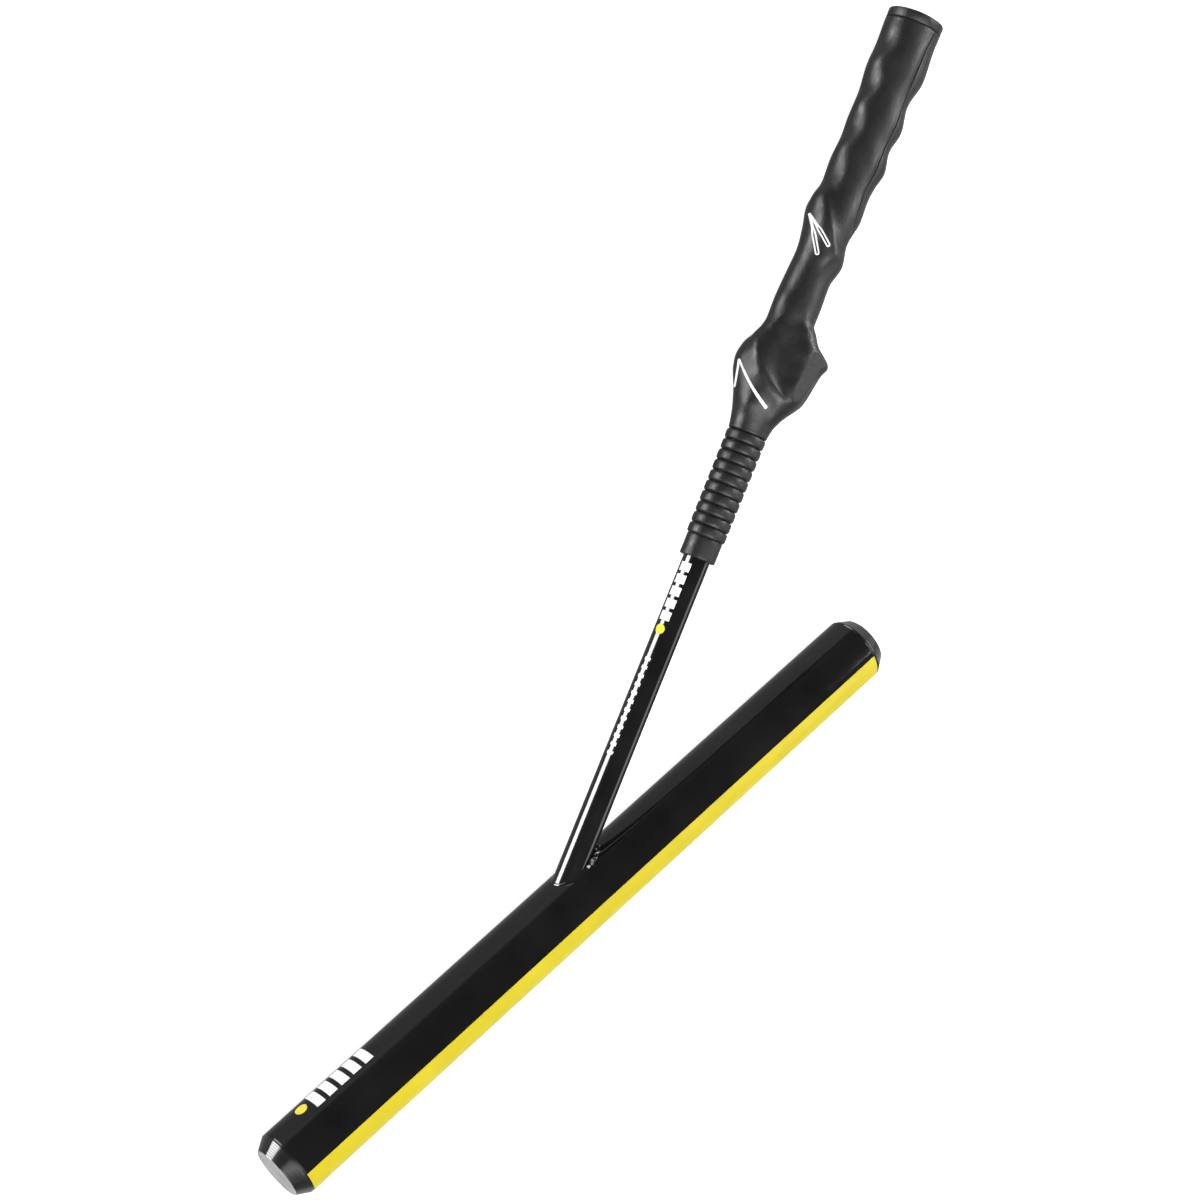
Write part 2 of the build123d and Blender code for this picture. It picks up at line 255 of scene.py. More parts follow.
def studio_floor():
    """Plain pale sheet of a light table, lit through from below."""
    glow = {"Emission_Color": (1, 1, 1, 1), "Emission_Strength": 0.94}
    finish = Finish("pale floor", (0.5, 0.5, 0.5), 0.9, IOR=1.3, **glow)
    finish.color(finish.noise(6, 2), (0.3, (0.49, 0.49, 0.49)), (0.7, (0.51, 0.51, 0.51)))
    finish.bumps((finish.noise(400, 2), 20 * micron),)
    return finish.material


paint = gloss_paint("gloss black paint", 1.36)
polished_paint = gloss_paint("polished black paint", 1.5)
white_ink = screen_print("white ink", (0.97, 0.97, 0.97))
yellow_ink = screen_print("yellow ink", (0.9, 0.77, 0.03))
finishes = {
    "weight_tube": paint,
    "shaft": polished_paint,
    "alignment_stripe": yellow_vinyl(),
    "tube_mark_white": white_ink,
    "shaft_mark_white": white_ink,
    "shaft_tick_row": white_ink,
    "tube_mark_yellow": yellow_ink,
    "shaft_mark_yellow": yellow_ink,
    "grip_tape": paper_tape(),
}
for node_name, finish_material in finishes.items():
    materials = nodes[node_name].data.materials
    materials.clear()
    materials.append(finish_material)

rubber = grip_rubber()
cap_gloss = cap_plastic()
# the end caps' flat faces take a light grey base colour that is a painted reflection
cap_face_painted_reflection = cap_face()
guide_paint = screen_print("guide paint", (0.9, 0.9, 0.9))


# ---------------------------------------------------------------- mesh helpers
def new_piece(name, points, faces, materials, stands_for, face_materials=None):
    """A smooth-shaded closed mesh that rides on the trainer and stands for a CAD node."""
    mesh = bpy.data.meshes.new(name)
    mesh.from_pydata([tuple(point) for point in points], [], faces)
    for material in materials:
        mesh.materials.append(material)
    if face_materials is not None:
        mesh.polygons.foreach_set("material_index", face_materials)
    mesh.polygons.foreach_set("use_smooth", [True] * len(mesh.polygons))
    mesh.validate()
    mesh.update()
    piece = bpy.data.objects.new(name, mesh)
    bpy.context.scene.collection.objects.link(piece)
    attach(piece, "root")
    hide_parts(stands_for)
    return piece


def loop_faces(rows, columns, close_rows=True):
    """Quads of a grid that closes on itself round the columns, and round the rows if close_rows."""
    faces = []
    for row in range(rows if close_rows else rows - 1):
        here = row * columns
        there = (row + 1) % rows * columns
        for column in range(columns):
            beside = (column + 1) % columns
            faces.append((here + column, here + beside, there + beside, there + column))
    return faces


on_axis = 1e-7  # a profile point nearer to the axis than this is a pole


def lathe(profile, origin, direction, segments):
    """Points and faces of a closed profile of (radius, along) turned about an axis, poles on the axis."""
    across = direction.cross(up)
    points, starts, faces = [], [], []
    for radius, along in profile:
        starts.append(len(points))
        turns = segments if radius > on_axis else 1
        for turn in range(turns):
            angle = 2 * pi * turn / segments
            points.append(origin + direction * along + (up * cos(angle) + across * sin(angle)) * radius)
    for index, (radius, _) in enumerate(profile):
        following = (index + 1) % len(profile)
        next_radius = profile[following][0]
        if radius <= on_axis and next_radius <= on_axis:
            continue
        for turn in range(segments):
            beside = (turn + 1) % segments
            a = starts[index] + (turn if radius > on_axis else 0)
            b = starts[index] + (beside if radius > on_axis else 0)
            c = starts[following] + (beside if next_radius > on_axis else 0)
            d = starts[following] + (turn if next_radius > on_axis else 0)
            faces.append(tuple(dict.fromkeys((a, b, c, d))))
    return points, faces


def smooth_curve(points, at):
    """Heights of a smooth curve through (place, height) points, level at crests, without overshoot."""
    place, height = np.array(points, float).T
    slope = np.diff(height) / np.diff(place)
    steepness = np.zeros(len(place))
    for index in range(1, len(place) - 1):
        before, after = slope[index - 1], slope[index]
        if before * after > 0:
            steepness[index] = 2 * before * after / (before + after)
    at = np.clip(np.asarray(at, float), place[0], place[-1])
    index = np.clip(np.searchsorted(place, at, "right") - 1, 0, len(place) - 2)
    span = place[index + 1] - place[index]
    t = (at - place[index]) / span
    rise = t * t * (3 - 2 * t)
    leave = t * (1 - t) ** 2 * span * steepness[index]
    arrive = t * t * (1 - t) * span * steepness[index + 1]
    return height[index] + (height[index + 1] - height[index]) * rise + leave - arrive


def smooth_step(value, low, high):
    """From 0 at low to 1 at high, level at both ends."""
    t = np.clip((value - low) / (high - low), 0, 1)
    return t * t * (3 - 2 * t)


# ---------------------------------------------------------------- grip: outside shape, in millimetres
rib_count = 10
rib_pitch = 5.06
rib_radius = 9.3
rib_taper = 0.02
groove_radius = 7.7
collar_length = 10.1
collar_radius = 8.4
collar_root = groove_radius - 0.1
collar_round = 0.5
collar_end = grip_length / mm
rib_start = collar_end - collar_length - rib_count * rib_pitch

hand_end_radius = 9.2

# how far the grip stands from the shaft's axis on its four sides, as (depth below the butt datum, reach)
palm_side = [
    (3, 12.5), (16, 12.1), (26, 12.5), (41, 11.3), (52, 11.5), (61, 11.1), (73, 11.8), (83, 11.4),
    (97, 13.7), (107, 11.8), (117, 10.6), (130, 11.3), (141, 11.75), (150, 11.6), (155, 12.1),
    (165, 17.2), (171, 18.3), (176, 17.5), (187, 13.1), (197.5, 10), (rib_start, hand_end_radius),
]
finger_side = [
    (3, 13.7), (9, 13.6), (25, 14.5), (38.5, 12.1), (50.5, 13.8), (60.5, 12.1), (70.5, 13.7), (78, 12.1),
    (85, 11.4), (94.5, 11.8), (106.5, 10.1), (117, 11.7), (127.5, 9.6), (140, 10), (146.5, 10), (153, 13.9),
    (162, 22.8), (166, 21.3), (181, 18.6), (192, 12.1), (197.5, 9.9), (rib_start, hand_end_radius),
]
thumb_side = [
    (3, 13.1), (61, 12.3), (85, 12.2), (97, 12.6), (117, 11.6), (147, 11.4), (162, 13), (171, 13.6),
    (182, 13), (197.5, 10), (rib_start, hand_end_radius),
]
back_side = [
    (3, 13.1), (25, 13.6), (39, 12.4), (51, 13.2), (61, 12.2), (72, 13), (85, 12), (117, 11.6), (147, 11.5),
    (162, 13.4), (171, 13.9), (182, 13.2), (197.5, 10), (rib_start, hand_end_radius),
]

# the mould's parting line, as (depth, offset towards the fingers) on the thumb side
parting_line = [
    (3, 10.6), (14, 9.7), (38, 9.4), (49, 9.9), (62, 9.1), (71, 9.2), (82, 8.1), (95, 8.8), (108, 9.0),
]
parting_fade = (100, 110)
groove_depth, groove_width = 0.6, 0.3
flash_height, flash_width, flash_offset = 0.22, 0.45, 0.85

# the thumb rest in the bulge: a leaf-shaped hollow on the thumb side, as (depth, value)
rest_center = [(146, 0), (158, -0.5), (168, 1.2), (176, 4.2), (184, 9.0)]
rest_half_width = [(146, 5.0), (158, 9.5), (164, 10.5), (172, 8.5), (179, 4.5), (184.5, 1.8)]
rest_hollow = [(143, 0), (152, 1.4), (163, 3.3), (172, 3.1), (180, 1.6), (185, 0)]
rest_share = 0.75  # of that hollow, since the ridges beside it add to its depth

# ridges on the thumb side, as (depth, offset towards the fingers): the thumb rest's two edges, and the
# pad's edge by the upper guide mark
left_rest_ridge = [(158, -12), (164, -10.5), (170, -7.8), (176, -4.2), (181, 1.5), (184, 7)]
right_rest_ridge = [(152, 9), (158.8, 12.5), (166, 14.5), (171.6, 14.5), (179.7, 12)]
pad_ridge = [(92.0, -8.0), (98.0, -4.6), (103.8, -1.4), (109.0, 1.8), (114.5, 5.2)]

# line, height, width towards the palm and width towards the fingers of each ridge
ridges = [(left_rest_ridge, 1.6, 4.0, 9.0), (right_rest_ridge, 2.0, 4.6, 4.0), (pad_ridge, 1.9, 6.0, 2.8)]
ridge_turnover = 3  # a ridge's width changes over this far on each side of its line

# centre (depth, offset), size and height of each soft mound and dip between the fingers
mounds = [((at, -8.5), (5.0, 4.5), 0.8) for at in (25.4, 46, 67.4, 141)]
mounds += [((at, -8.5), (5.0, 4.5), -0.8) for at in (15.5, 36, 57, 80)]
mounds += [((191, -5.2), (4.0, 4.0), 0.9)]


def along_line(depth, offset, line, width):
    """1 on a line over the surface, falling smoothly to 0 about two widths off it."""
    nearest = np.full(np.shape(depth), 1e9)
    for (depth0, offset0), (depth1, offset1) in zip(line, line[1:]):
        run = np.array((depth1 - depth0, offset1 - offset0))
        t = ((depth - depth0) * run[0] + (offset - offset0) * run[1]) / (run @ run)
        t = np.clip(t, 0, 1)
        gap = (depth - depth0 - t * run[0]) ** 2 + (offset - offset0 - t * run[1]) ** 2
        nearest = np.minimum(nearest, gap)
    return np.exp(-nearest / width**2)


def mound(depth, offset, center, size):
    """1 at the centre, falling smoothly to 0 about two sizes off it."""
    return np.exp(-(((depth - center[0]) / size[0]) ** 2) - ((offset - center[1]) / size[1]) ** 2)


def crest(depth, offset, line, left_width, right_width):
    """A rounded ridge along a line over the surface, with its own width on each side."""
    beside = offset - np.interp(depth, *zip(*line))
    turned = smooth_step(beside, -ridge_turnover, ridge_turnover)
    width = left_width + (right_width - left_width) * turned
    return along_line(depth, offset, line, width)


def section(depth, angle):
    """The plain outline, before sculpting: offsets towards the fingers and the thumb side."""
    x, y = np.cos(angle), np.sin(angle)
    across = np.where(x > 0, smooth_curve(finger_side, depth), smooth_curve(palm_side, depth))
    through = np.where(y > 0, smooth_curve(thumb_side, depth), smooth_curve(back_side, depth))
    return x * across, y * through


def parting_angle(depth):
    """Where round the section the parting line lies."""
    fingers = smooth_curve(finger_side, np.minimum(depth, parting_line[-1][0]))
    return np.arccos(np.clip(smooth_curve(parting_line, depth) / fingers, -1, 1))


def relief(depth, x, y, angle):
    """How much the mould raises the surface above the plain outline."""
    facing = smooth_step(y / np.hypot(x, y), 0.05, 0.45)
    center = smooth_curve(rest_center, depth)
    half_width = smooth_curve(rest_half_width, depth)
    hollow = smooth_curve(rest_hollow, depth)
    inside = np.clip(1 - ((x - center) / half_width) ** 2, 0, 1)
    height = -rest_share * hollow * inside**1.1
    for line, rise, left_width, right_width in ridges:
        height += rise * crest(depth, x, line, left_width, right_width)
    for place, size, rise in mounds:
        height += rise * mound(depth, x, place, size)
    height *= facing
    gap = (angle - parting_angle(depth)) * np.hypot(x, y)
    shown = 1 - smooth_step(depth, *parting_fade)
    height -= groove_depth * np.exp(-((gap / groove_width) ** 2)) * shown
    height += flash_height * np.exp(-(((gap - flash_offset) / flash_width) ** 2)) * shown
    return height


def hand_surface(depth, angle):
    """Points of the hand part's outside: offsets towards the fingers and the thumb side."""
    x, y = section(depth, angle)
    radius = np.hypot(x, y)
    grown = 1 + relief(depth, x, y, angle) / radius
    return x * grown, y * grown


def turned_radius(depth):
    """Radius of the ribs and the collar."""
    rib = np.clip(np.floor((depth - rib_start) / rib_pitch), 0, rib_count - 1)
    across = np.clip((depth - rib_start - rib * rib_pitch) / rib_pitch, 0, 1)
    top = rib_radius - rib * rib_taper
    crown = np.clip(1 - np.abs(2 * across - 1) ** 4.5, 0, 1) ** 0.5
    ribs = groove_radius + (top - groove_radius) * crown
    collar_depth = depth - (collar_end - collar_length)
    lip = np.clip(collar_depth / collar_round, 0, 1) * np.clip((collar_end - depth) / collar_round, 0, 1)
    collar = collar_root + (collar_radius - collar_root) * np.sqrt(1 - (1 - lip) ** 2)
    return np.where(collar_depth < 0, ribs, collar)


def place_on_grip(depth, x, y):
    """From millimetres below the butt datum and off the axis to places in the scene."""
    directions = (butt_datum, to_thumb, to_fingers, -shaft_direction)
    origin, thumb, fingers, back = (np.array(vector) for vector in directions)
    flat = [np.ravel(value)[:, None] * mm for value in np.broadcast_arrays(depth, x, y)]
    return origin + back * flat[0] + fingers * flat[1] + thumb * flat[2]


def build_grip():
    """One closed skin: outside from the butt to the collar's end, then back up the bore."""
    columns = 180
    hand_rows = 364
    rib_rows = 11
    joint_chamfer = 0.5
    shoulder = 0.9
    shoulder_steps = 5
    # columns crowd together at the parting line, whose groove is narrower than the even spacing
    crowding, crowding_reach = 0.96, 0.55
    even = np.linspace(-pi, pi, columns, endpoint=False)
    crowded = even - crowding * np.sin(even) * np.exp(-((even / crowding_reach) ** 2))
    top = butt_cap_depth / mm
    hand_depths = np.linspace(top + joint_chamfer, rib_start - shoulder, hand_rows)
    depth = np.repeat(hand_depths[:, None], columns, 1)
    angle = parting_angle(depth) + crowded[None, :]
    hand_x, hand_y = hand_surface(depth, angle)

    rows = [(np.full(columns, top), *shrunk(hand_x[0], hand_y[0], joint_chamfer))]
    rows += list(zip(depth, hand_x, hand_y))
    for step in range(1, shoulder_steps + 1):
        turn = step / shoulder_steps * pi / 2
        rows.append((
            np.full(columns, rib_start - shoulder + shoulder * sin(turn)),
            *shrunk(hand_x[-1], hand_y[-1], 1 - cos(turn)),
        ))
    ribs = [rib_start + rib_pitch * (rib + rib_spacing(rib_rows)) for rib in range(rib_count)]
    rib_steps = np.concatenate(ribs)
    collar_start = collar_end - collar_length
    rounding = collar_round * np.array([0.0, 0.16, 0.4, 0.7, 1.0])
    collar_steps = collar_start + np.concatenate([rounding, np.arange(2.0, 9.0, 2.0)])
    end_steps = collar_end - rounding[::-1]
    round_x, round_y = np.cos(angle[-1]), np.sin(angle[-1])
    for at in np.concatenate([rib_steps, collar_steps, end_steps]):
        radius = turned_radius(np.array(at))
        rows.append((np.full(columns, at), radius * round_x, radius * round_y))
    bore = [(collar_end, bore_radius), (collar_end / 2, bore_radius), (shaft_end_depth / mm, bore_radius)]
    bore += [(shaft_end_depth / mm, stem_radius), (top, stem_radius)]
    for at, radius in bore:
        rows.append((np.full(columns, at), radius / mm * round_x, radius / mm * round_y))
    grid = [np.array([row[part] for row in rows]) for part in range(3)]
    points = place_on_grip(*grid)
    points[:, 2] = np.clip(points[:, 2], cad_box[0].z, cad_box[1].z)
    faces = loop_faces(len(rows), columns)
    return new_piece("hand_grip", points, faces, [rubber], "grip_body")


def shrunk(x, y, amount):
    """An outline brought in by the given amount."""
    keep = 1 - amount / np.hypot(x, y)
    return x * keep, y * keep


def rib_spacing(count):
    """Places across one rib, closer together in the grooves."""
    return (1 - np.cos(np.linspace(0, pi, count + 1)[:-1])) / 2


build_grip()

# ---------------------------------------------------------------- guide marks
arm_width = 2.0
outline_width = 0.66
mark_height = 0.16
mark_sink = 0.4  # of the bead's bottom edges below the rubber
bead_profile = [(-1, -0.35), (-1, 0.35), (-0.85, 0.75), (-0.4, 0.98), (0, 1)]
bead_profile += [(-share, level) for share, level in reversed(bead_profile[:-1])]


def thumb_surface(depth, offset):
    """How far the sculpted surface stands towards the thumb side, at an offset towards the fingers."""
    edge, samples = 0.02, 500
    angles = np.linspace(pi - edge, edge, samples)
    x, y = hand_surface(np.full(angles.shape, depth), angles)
    return np.interp(offset, x, y)


def bead(path, widths):
    """A low rounded bead laid on the grip along a path of (depth, offset), open at both ends."""
    path = np.array(path)
    run = np.gradient(path, axis=0)
    run /= np.linalg.norm(run, axis=1)[:, None]
    across = np.stack([-run[:, 1], run[:, 0]], 1)
    points = []
    for spot, side, width in zip(path, across, widths):
        for share, level in bead_profile:
            depth, offset = spot + side * share * width / 2
            height = level * mark_height if level > 0 else -mark_sink
            points.append((depth, offset, thumb_surface(depth, offset) + height))
    columns = len(bead_profile)
    faces = loop_faces(len(path), columns, close_rows=False)
    faces.append(tuple(reversed(range(columns))))
    faces.append(tuple(range((len(path) - 1) * columns, len(path) * columns)))
    return points, faces


def rounded_widths(path, width):
    """Full width along the path, rounded off over half a width at both ends."""
    steps = np.linalg.norm(np.diff(np.array(path), axis=0), axis=1)
    along = np.concatenate([[0], np.cumsum(steps)])
    from_end = np.minimum(along, along[-1] - along)
    share = np.clip(from_end / (width / 2), 0.12, 1)
    return width * np.sqrt(1 - (1 - share) ** 2)


def stroke_path(start, end, bend, count):
    """Points from start to end, bowed sideways by bend at the middle."""
    start, end = np.array(start), np.array(end)
    run = (end - start) / np.linalg.norm(end - start)
    side = np.array((-run[1], run[0]))
    share = np.linspace(0, 1, count)[:, None]
    return start + (end - start) * share + side * bend * 4 * share * (1 - share)


def solid_stroke(start, end, start_width, end_width, bend):
    """A filled arm that widens evenly, with rounded ends."""
    path = stroke_path(start, end, bend, 60)
    share = np.linspace(0, 1, len(path))
    full = start_width + (end_width - start_width) * share
    return bead(path, full * rounded_widths(path, 1.0))


def hollow_stroke(start, end):
    """An outlined arm: two lines from the tip that part and join round the far end."""
    start, end = np.array(start), np.array(end)
    length = np.linalg.norm(end - start)
    run = (end - start) / length
    side = np.array((-run[1], run[0]))
    half = (arm_width - outline_width) / 2
    tip_half, tip_inset = 0.24, 0.2
    out = np.linspace(-arm_width / 2 + tip_inset, length, 46)
    spacing = tip_half + (half - tip_half) * smooth_step(out, 0.3 * length, 0.55 * length)
    path = [start + run * at + side * gap for at, gap in zip(out, spacing)]
    for turn in np.linspace(0, pi, 13)[1:-1]:
        path.append(end + run * half * sin(turn) + side * half * cos(turn))
    path += [start + run * at - side * gap for at, gap in zip(out[::-1], spacing[::-1])]
    return bead(path, rounded_widths(path, outline_width))


def guide_mark(name, stands_for, strokes):
    """The strokes of one mark, as one piece."""
    points, faces = [], []
    for more_points, more_faces in strokes:
        faces += [tuple(corner + len(points) for corner in face) for face in more_faces]
        points += more_points
    depth, x, y = np.array(points).T
    return new_piece(name, place_on_grip(depth, x, y), faces, [guide_paint], stands_for)


upper_tip = (101.5, -11.0)
upper_strokes = [hollow_stroke(upper_tip, end) for end in ((117.0, -1.6), (112.0, 1.5))]
guide_mark("upper_guide_lines", "upper_guide_mark", upper_strokes)

lower_tip = (173.3, -16.2)
long_arm = solid_stroke(lower_tip, (190.0, 3.4), 0.8, 1.6, -1.3)
short_arm = solid_stroke(lower_tip, (185.5, -13.3), 1.0, 0.7, 0.0)
guide_mark("lower_guide_lines", "lower_guide_mark", [long_arm, short_arm])


# ---------------------------------------------------------------- butt cap
def arc_points(center, radius, start, end, count):
    """Points of an arc in the (radius, along) plane, angles in degrees from the radius direction."""
    turns = np.linspace(radians(start), radians(end), count)
    return [(center[0] + radius * cos(turn), center[1] + radius * sin(turn)) for turn in turns]


def build_butt_cap():
    """A domed plug with a vent hole, on a stem that fills the grip's end."""
    low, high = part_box("grip_butt_cap")
    radius = (high - low).z / 2
    center = Vector((butt_datum.x, (low.y + high.y) / 2, (low.z + high.z) / 2))
    dome = high.x - butt_datum.x - butt_cap_rise
    rim_round = 0.28 * mm
    chamfer = 0.4 * mm
    vent = 0.9 * mm
    vent_lip = 0.2 * mm
    stem_length = 12.0 * mm
    dome_steps = 29
    crown = radius - rim_round
    sphere = (crown**2 + dome**2) / (2 * dome)
    top = butt_cap_rise + dome
    profile = [(vent, -butt_cap_depth - stem_length)]
    profile += [(vent, 0.0), (vent, top - 0.25 * mm), (vent + 0.1 * mm, top - 0.06 * mm)]
    for step in range(1, dome_steps + 1):
        out = vent + vent_lip + (crown - vent - vent_lip) * step / dome_steps
        profile.append((out, top - (sphere - (sphere**2 - out**2) ** 0.5)))
    profile += arc_points((crown, butt_cap_rise - rim_round), rim_round, 84, 0, 9)
    profile += [(radius, -butt_cap_depth + chamfer), (radius - chamfer, -butt_cap_depth)]
    profile += [(stem_radius, -butt_cap_depth), (stem_radius, -butt_cap_depth - stem_length)]
    points, faces = lathe(profile, center, shaft_direction, 160)
    return new_piece("butt_plug", points, faces, [rubber], "grip_butt_cap")


build_butt_cap()


# ---------------------------------------------------------------- end caps
def build_end_cap(name, stands_for, face_point, outward):
    """A coned plug with fine turned rings; its along axis is measured from the tube's end."""
    face_radius = 12.1 * mm
    land = 0.8 * mm
    rim_round = 0.2 * mm
    edge_round = 0.45 * mm
    ring_pitch = 1.05 * mm
    ring_depth = 0.06 * mm
    face_ring_depth = 0.006 * mm
    face_steps = 39
    corner_round = 0.7 * mm
    fin_root = tube_radius - 3.9 * mm
    spigot_bore = fin_root - 1.6 * mm
    spigot_length = 18.0 * mm
    fin_count = 4
    fin_pitch = spigot_length / (fin_count + 1)
    tube_bore = tube_radius - 3.0 * mm
    origin = face_point - outward * cap_head

    profile = [(0.0, cap_head)]
    for step in range(1, face_steps + 1):
        out = (face_radius - edge_round) * step / face_steps
        profile.append((out, cap_head - face_ring_depth * (1 - cos(2 * pi * out / ring_pitch))))
    face_rows = len(profile)
    slope_in, slope_out = tube_radius - face_radius, cap_head - land
    slant = (slope_in**2 + slope_out**2) ** 0.5
    cone_normal = (slope_out / slant, slope_in / slant)
    corner_turn = atan2(slope_in, slope_out)
    tangent = corner_round * tan(corner_turn / 2)
    cone_end = 1 - tangent / slant
    cone_start = 0.06
    cone_steps = 84
    fading_steps = 6
    for step in range(cone_steps + 1):
        share = cone_start + (cone_end - cone_start) * step / cone_steps
        wave = abs(sin(pi * share * slant / ring_pitch)) ** 0.7
        sink = ring_depth * (1 - wave) * min(1, (cone_steps - step) / fading_steps)
        profile.append((
            face_radius + slope_in * share - cone_normal[0] * sink,
            cap_head - slope_out * share - cone_normal[1] * sink,
        ))
    corner = (tube_radius - corner_round, land - tangent)
    profile += arc_points(corner, corner_round, degrees(corner_turn), 0, 9)[1:]
    profile += [(tube_radius, rim_round), (tube_radius - rim_round * 0.3, rim_round * 0.3)]
    profile += [(tube_radius - rim_round, 0), (tube_bore, 0), (fin_root, -0.1 * mm)]
    for fin in range(1, fin_count + 1):
        along = -fin * fin_pitch
        profile += [(fin_root, along + 0.05 * mm), (tube_bore, along), (tube_bore, along - 0.5 * mm)]
        profile += [(fin_root, along - 1.5 * mm)]
    profile += [(fin_root, -spigot_length), (spigot_bore, -spigot_length), (spigot_bore, land), (0.0, land)]
    segments = 144
    points, faces = lathe(profile, origin, outward, segments)
    # the face rows get the grey finish, whose colour is a painted reflection
    face_materials = [1 if index < face_rows * segments else 0 for index in range(len(faces))]
    return new_piece(name, points, faces, [cap_gloss, cap_face_painted_reflection], stands_for, face_materials)


build_end_cap("lower_cap", "lower_end_cap", lower_face, -tube_direction)
build_end_cap("upper_cap", "upper_end_cap", upper_face, tube_direction)


# ---------------------------------------------------------------- weld bead
def build_weld():
    """A rippled bead in the corner between the shaft and the weight tube, all round the shaft.

    It is short in the wide corner, where heel is 1, and thick and lumpy in the sharp one, where lumps is 1.
    """
    stations = 320
    face_steps = 12
    ripple_count = 22
    leg, heel_loss, leg_wobble, leg_growth = 1.9 * mm, 1.2 * mm, 0.3 * mm, 1.4 * mm
    base_swell, ripple_swell, lump_swell = 0.1 * mm, 0.1 * mm, 2.1 * mm
    root_depth = 0.8 * mm
    toe_sink = 0.05 * mm
    along_shaft = shaft_direction.dot(tube_side)
    across_shaft = Vector((0, 1, 0)).dot(tube_side)
    points = []
    for station in range(stations):
        turn = 2 * pi * station / stations
        shaft_normal = Vector((0, cos(turn), sin(turn)))
        lift = shaft_radius * sin(turn)
        aside = (tube_radius**2 - lift**2) ** 0.5
        run = (aside - across_shaft * shaft_radius * cos(turn)) / along_shaft
        corner = crossing + shaft_direction * run + shaft_normal * shaft_radius
        tube_normal = (tube_side * aside + up * lift) / tube_radius
        alike = shaft_normal.dot(tube_normal)
        up_shaft = (tube_normal - shaft_normal * alike).normalized()
        over_tube = (shaft_normal - tube_normal * alike).normalized()
        outward = (shaft_normal + tube_normal).normalized()
        heel = (1 + cos(turn)) / 2
        wobble = noise.noise(Vector((3 * cos(turn), 3 * sin(turn), 0.4)))
        ripple = sin(ripple_count * turn / 2 + 0.7 * wobble) ** 2
        lumps = smooth_step(-cos(turn), 0.35, 0.85)
        reach = leg - heel_loss * heel + leg_wobble * wobble + leg_growth * lumps
        swell = base_swell + ripple_swell * ripple * (1 - heel) + lump_swell * lumps * ripple
        shaft_toe = corner + up_shaft * reach
        tube_toe = corner + over_tube * reach
        root = corner - outward * root_depth
        for step in range(face_steps + 1):
            share = step / face_steps
            rise = swell * (4 * share * (1 - share)) ** 0.6
            points.append(shaft_toe.lerp(tube_toe, share) + outward * (rise - toe_sink))
        points.append(root)
    faces = loop_faces(stations, face_steps + 2)
    return new_piece("weld_seam", points, faces, [polished_paint], "weld_bead")


build_weld()

# ---------------------------------------------------------------- floor, world and lights
floor_size = 14.0
bpy.ops.mesh.primitive_plane_add(size=floor_size, location=(0, 0, cad_box[0].z))
floor = bpy.context.object
floor.name = "floor"
floor.data.materials.append(studio_floor())
# glossy surfaces mirror the even white surroundings below the horizon, not the floor's own shading
floor.visible_glossy = False


def build_world():
    """A dim studio over a bright sweep: below the horizon it is what glossy surfaces see of the table."""
    world = bpy.data.worlds.new("studio")
    bpy.context.scene.world = world
    world.use_nodes = True
    tree = world.node_tree
    place = tree.nodes.new("ShaderNodeTexCoord")
    split = tree.nodes.new("ShaderNodeSeparateXYZ")
    ramp = tree.nodes.new("ShaderNodeValToRGB")
    tree.links.new(place.outputs["Generated"], split.inputs["Vector"])
    half = tree.nodes.new("ShaderNodeMath")
    half.operation = "MULTIPLY_ADD"
    half.inputs[1].default_value = 0.5
    half.inputs[2].default_value = 0.5
    tree.links.new(split.outputs["Z"], half.inputs[0])
    tree.links.new(half.outputs["Value"], ramp.inputs["Fac"])
    tree.links.new(ramp.outputs["Color"], tree.nodes["Background"].inputs["Color"])
    stops = [(0.0, 0.38), (0.1, 0.42), (0.2, 0.66), (0.48, 0.85), (0.51, 0.28), (0.58, 0.17), (0.8, 0.1)]
    elements = ramp.color_ramp.elements
    while len(elements) < len(stops):
        elements.new(0.5)
    for element, (place_up, level) in zip(elements, stops):
        element.position = place_up
        element.color = (level, level, level, 1)
    tree.nodes["Background"].inputs["Strength"].default_value = 1.0


def softbox(name, center, target, width, height, radiance):
    """A rectangular light, width along the floor, that faces the target."""
    light = bpy.data.lights.new(name, "AREA")
    light.shape = "RECTANGLE"
    light.size = width
    light.size_y = height
    light.energy = radiance * pi * width * height
    lamp = bpy.data.objects.new(name, light)
    lamp.location = center
    lamp.rotation_euler = (Vector(target) - Vector(center)).to_track_quat("-Z", "Y").to_euler()
    lamp.visible_camera = False
    bpy.context.scene.collection.objects.link(lamp)


build_world()
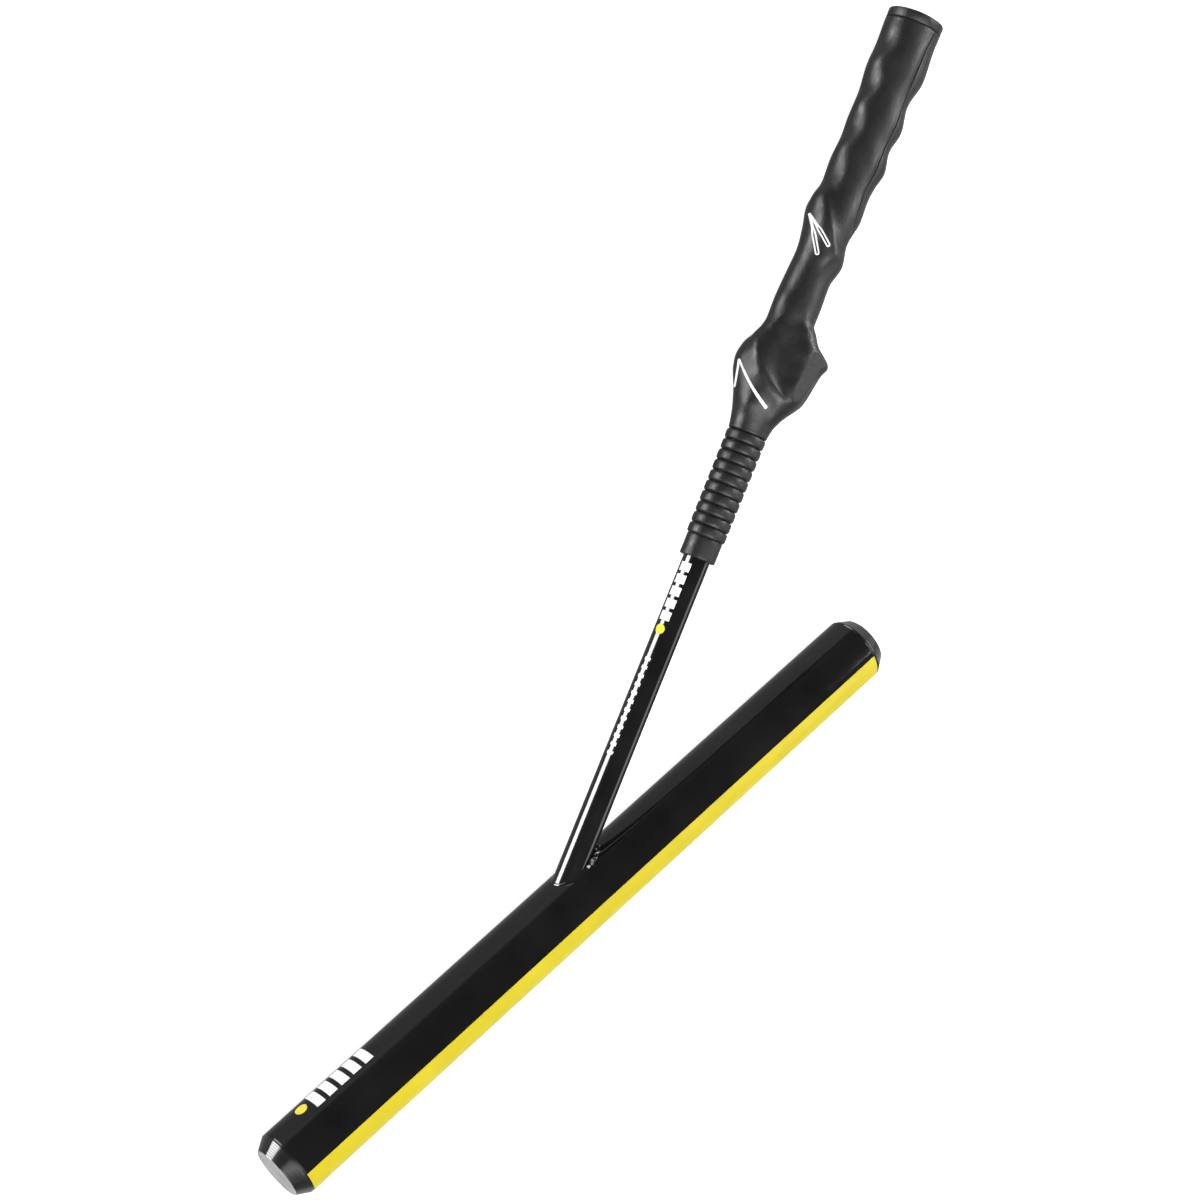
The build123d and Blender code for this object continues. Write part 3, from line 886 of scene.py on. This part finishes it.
# big lights, outside what the glossy tubes mirror towards the camera
softbox("overhead key", (-1.0, 0.35, 1.9), (0, 0, 0), 1.4, 0.8, 15)
softbox("front fill", (-1.0, 1.38, 1.6), (0, 0, 0), 1.0, 1.0, 4.5)
softbox("left end fill", (-1.8, 0.35, 1.45), (0, 0, 0), 1.6, 1.2, 0.55)
softbox("right end fill", (1.78, -1.2, 1.08), (0, 0, 0), 1.2, 0.7, 4)
# lights that draw the highlights
softbox("right box", (0.12, -1.3, 1.0), (0.05, 0, 0.02), 0.8, 0.6, 2.4)
softbox("grip top box", (0.85, -0.75, 1.45), (0.2, 0, 0.02), 0.6, 0.5, 17)
softbox("cap box", (0.80, -0.52, 0.48), (0.15, -0.1, 0.02), 0.24, 0.12, 40)
# upright panels below the level of the table, seen only by glossy surfaces
low_y = axis_y + 1.6
low_z = -0.72
low_height = 1.02
softbox("low panel", (-0.1, low_y, low_z), (-0.1, 0, low_z), 1.2, low_height, 26)
softbox("low end panel", (0.74, low_y, low_z), (0.74, 0, low_z), 0.48, low_height, 6)

# ---------------------------------------------------------------- camera
view_target = Vector((-0.0072, 0.0572, 0.0157))
view_distance = 1.1473
view_azimuth = radians(182.30)
view_elevation = radians(49.95)
view_roll = radians(-110.26)
view_lens = 78.4  # millimetres, on a 36 mm sensor


def build_camera():
    """A camera that looks at the target from an azimuth (0 looks along +Y) and an elevation."""
    back = Vector((
        sin(view_azimuth) * cos(view_elevation),
        -cos(view_azimuth) * cos(view_elevation),
        sin(view_elevation),
    ))
    level = (-back).cross(up).normalized()
    upright = level.cross(-back)
    camera_up = upright * cos(view_roll) + level * sin(view_roll)
    camera_right = (-back).cross(camera_up)
    data = bpy.data.cameras.new("camera")
    data.lens = view_lens
    data.sensor_width = 36.0
    data.clip_start = 0.01
    data.clip_end = 50.0
    camera = bpy.data.objects.new("camera", data)
    camera.matrix_world = Matrix.Translation(view_target + back * view_distance) @ Matrix((
        (camera_right.x, camera_up.x, back.x, 0),
        (camera_right.y, camera_up.y, back.y, 0),
        (camera_right.z, camera_up.z, back.z, 0),
        (0, 0, 0, 1),
    ))
    bpy.context.scene.collection.objects.link(camera)
    bpy.context.scene.camera = camera


build_camera()
bpy.context.scene.view_settings.view_transform = "Standard"
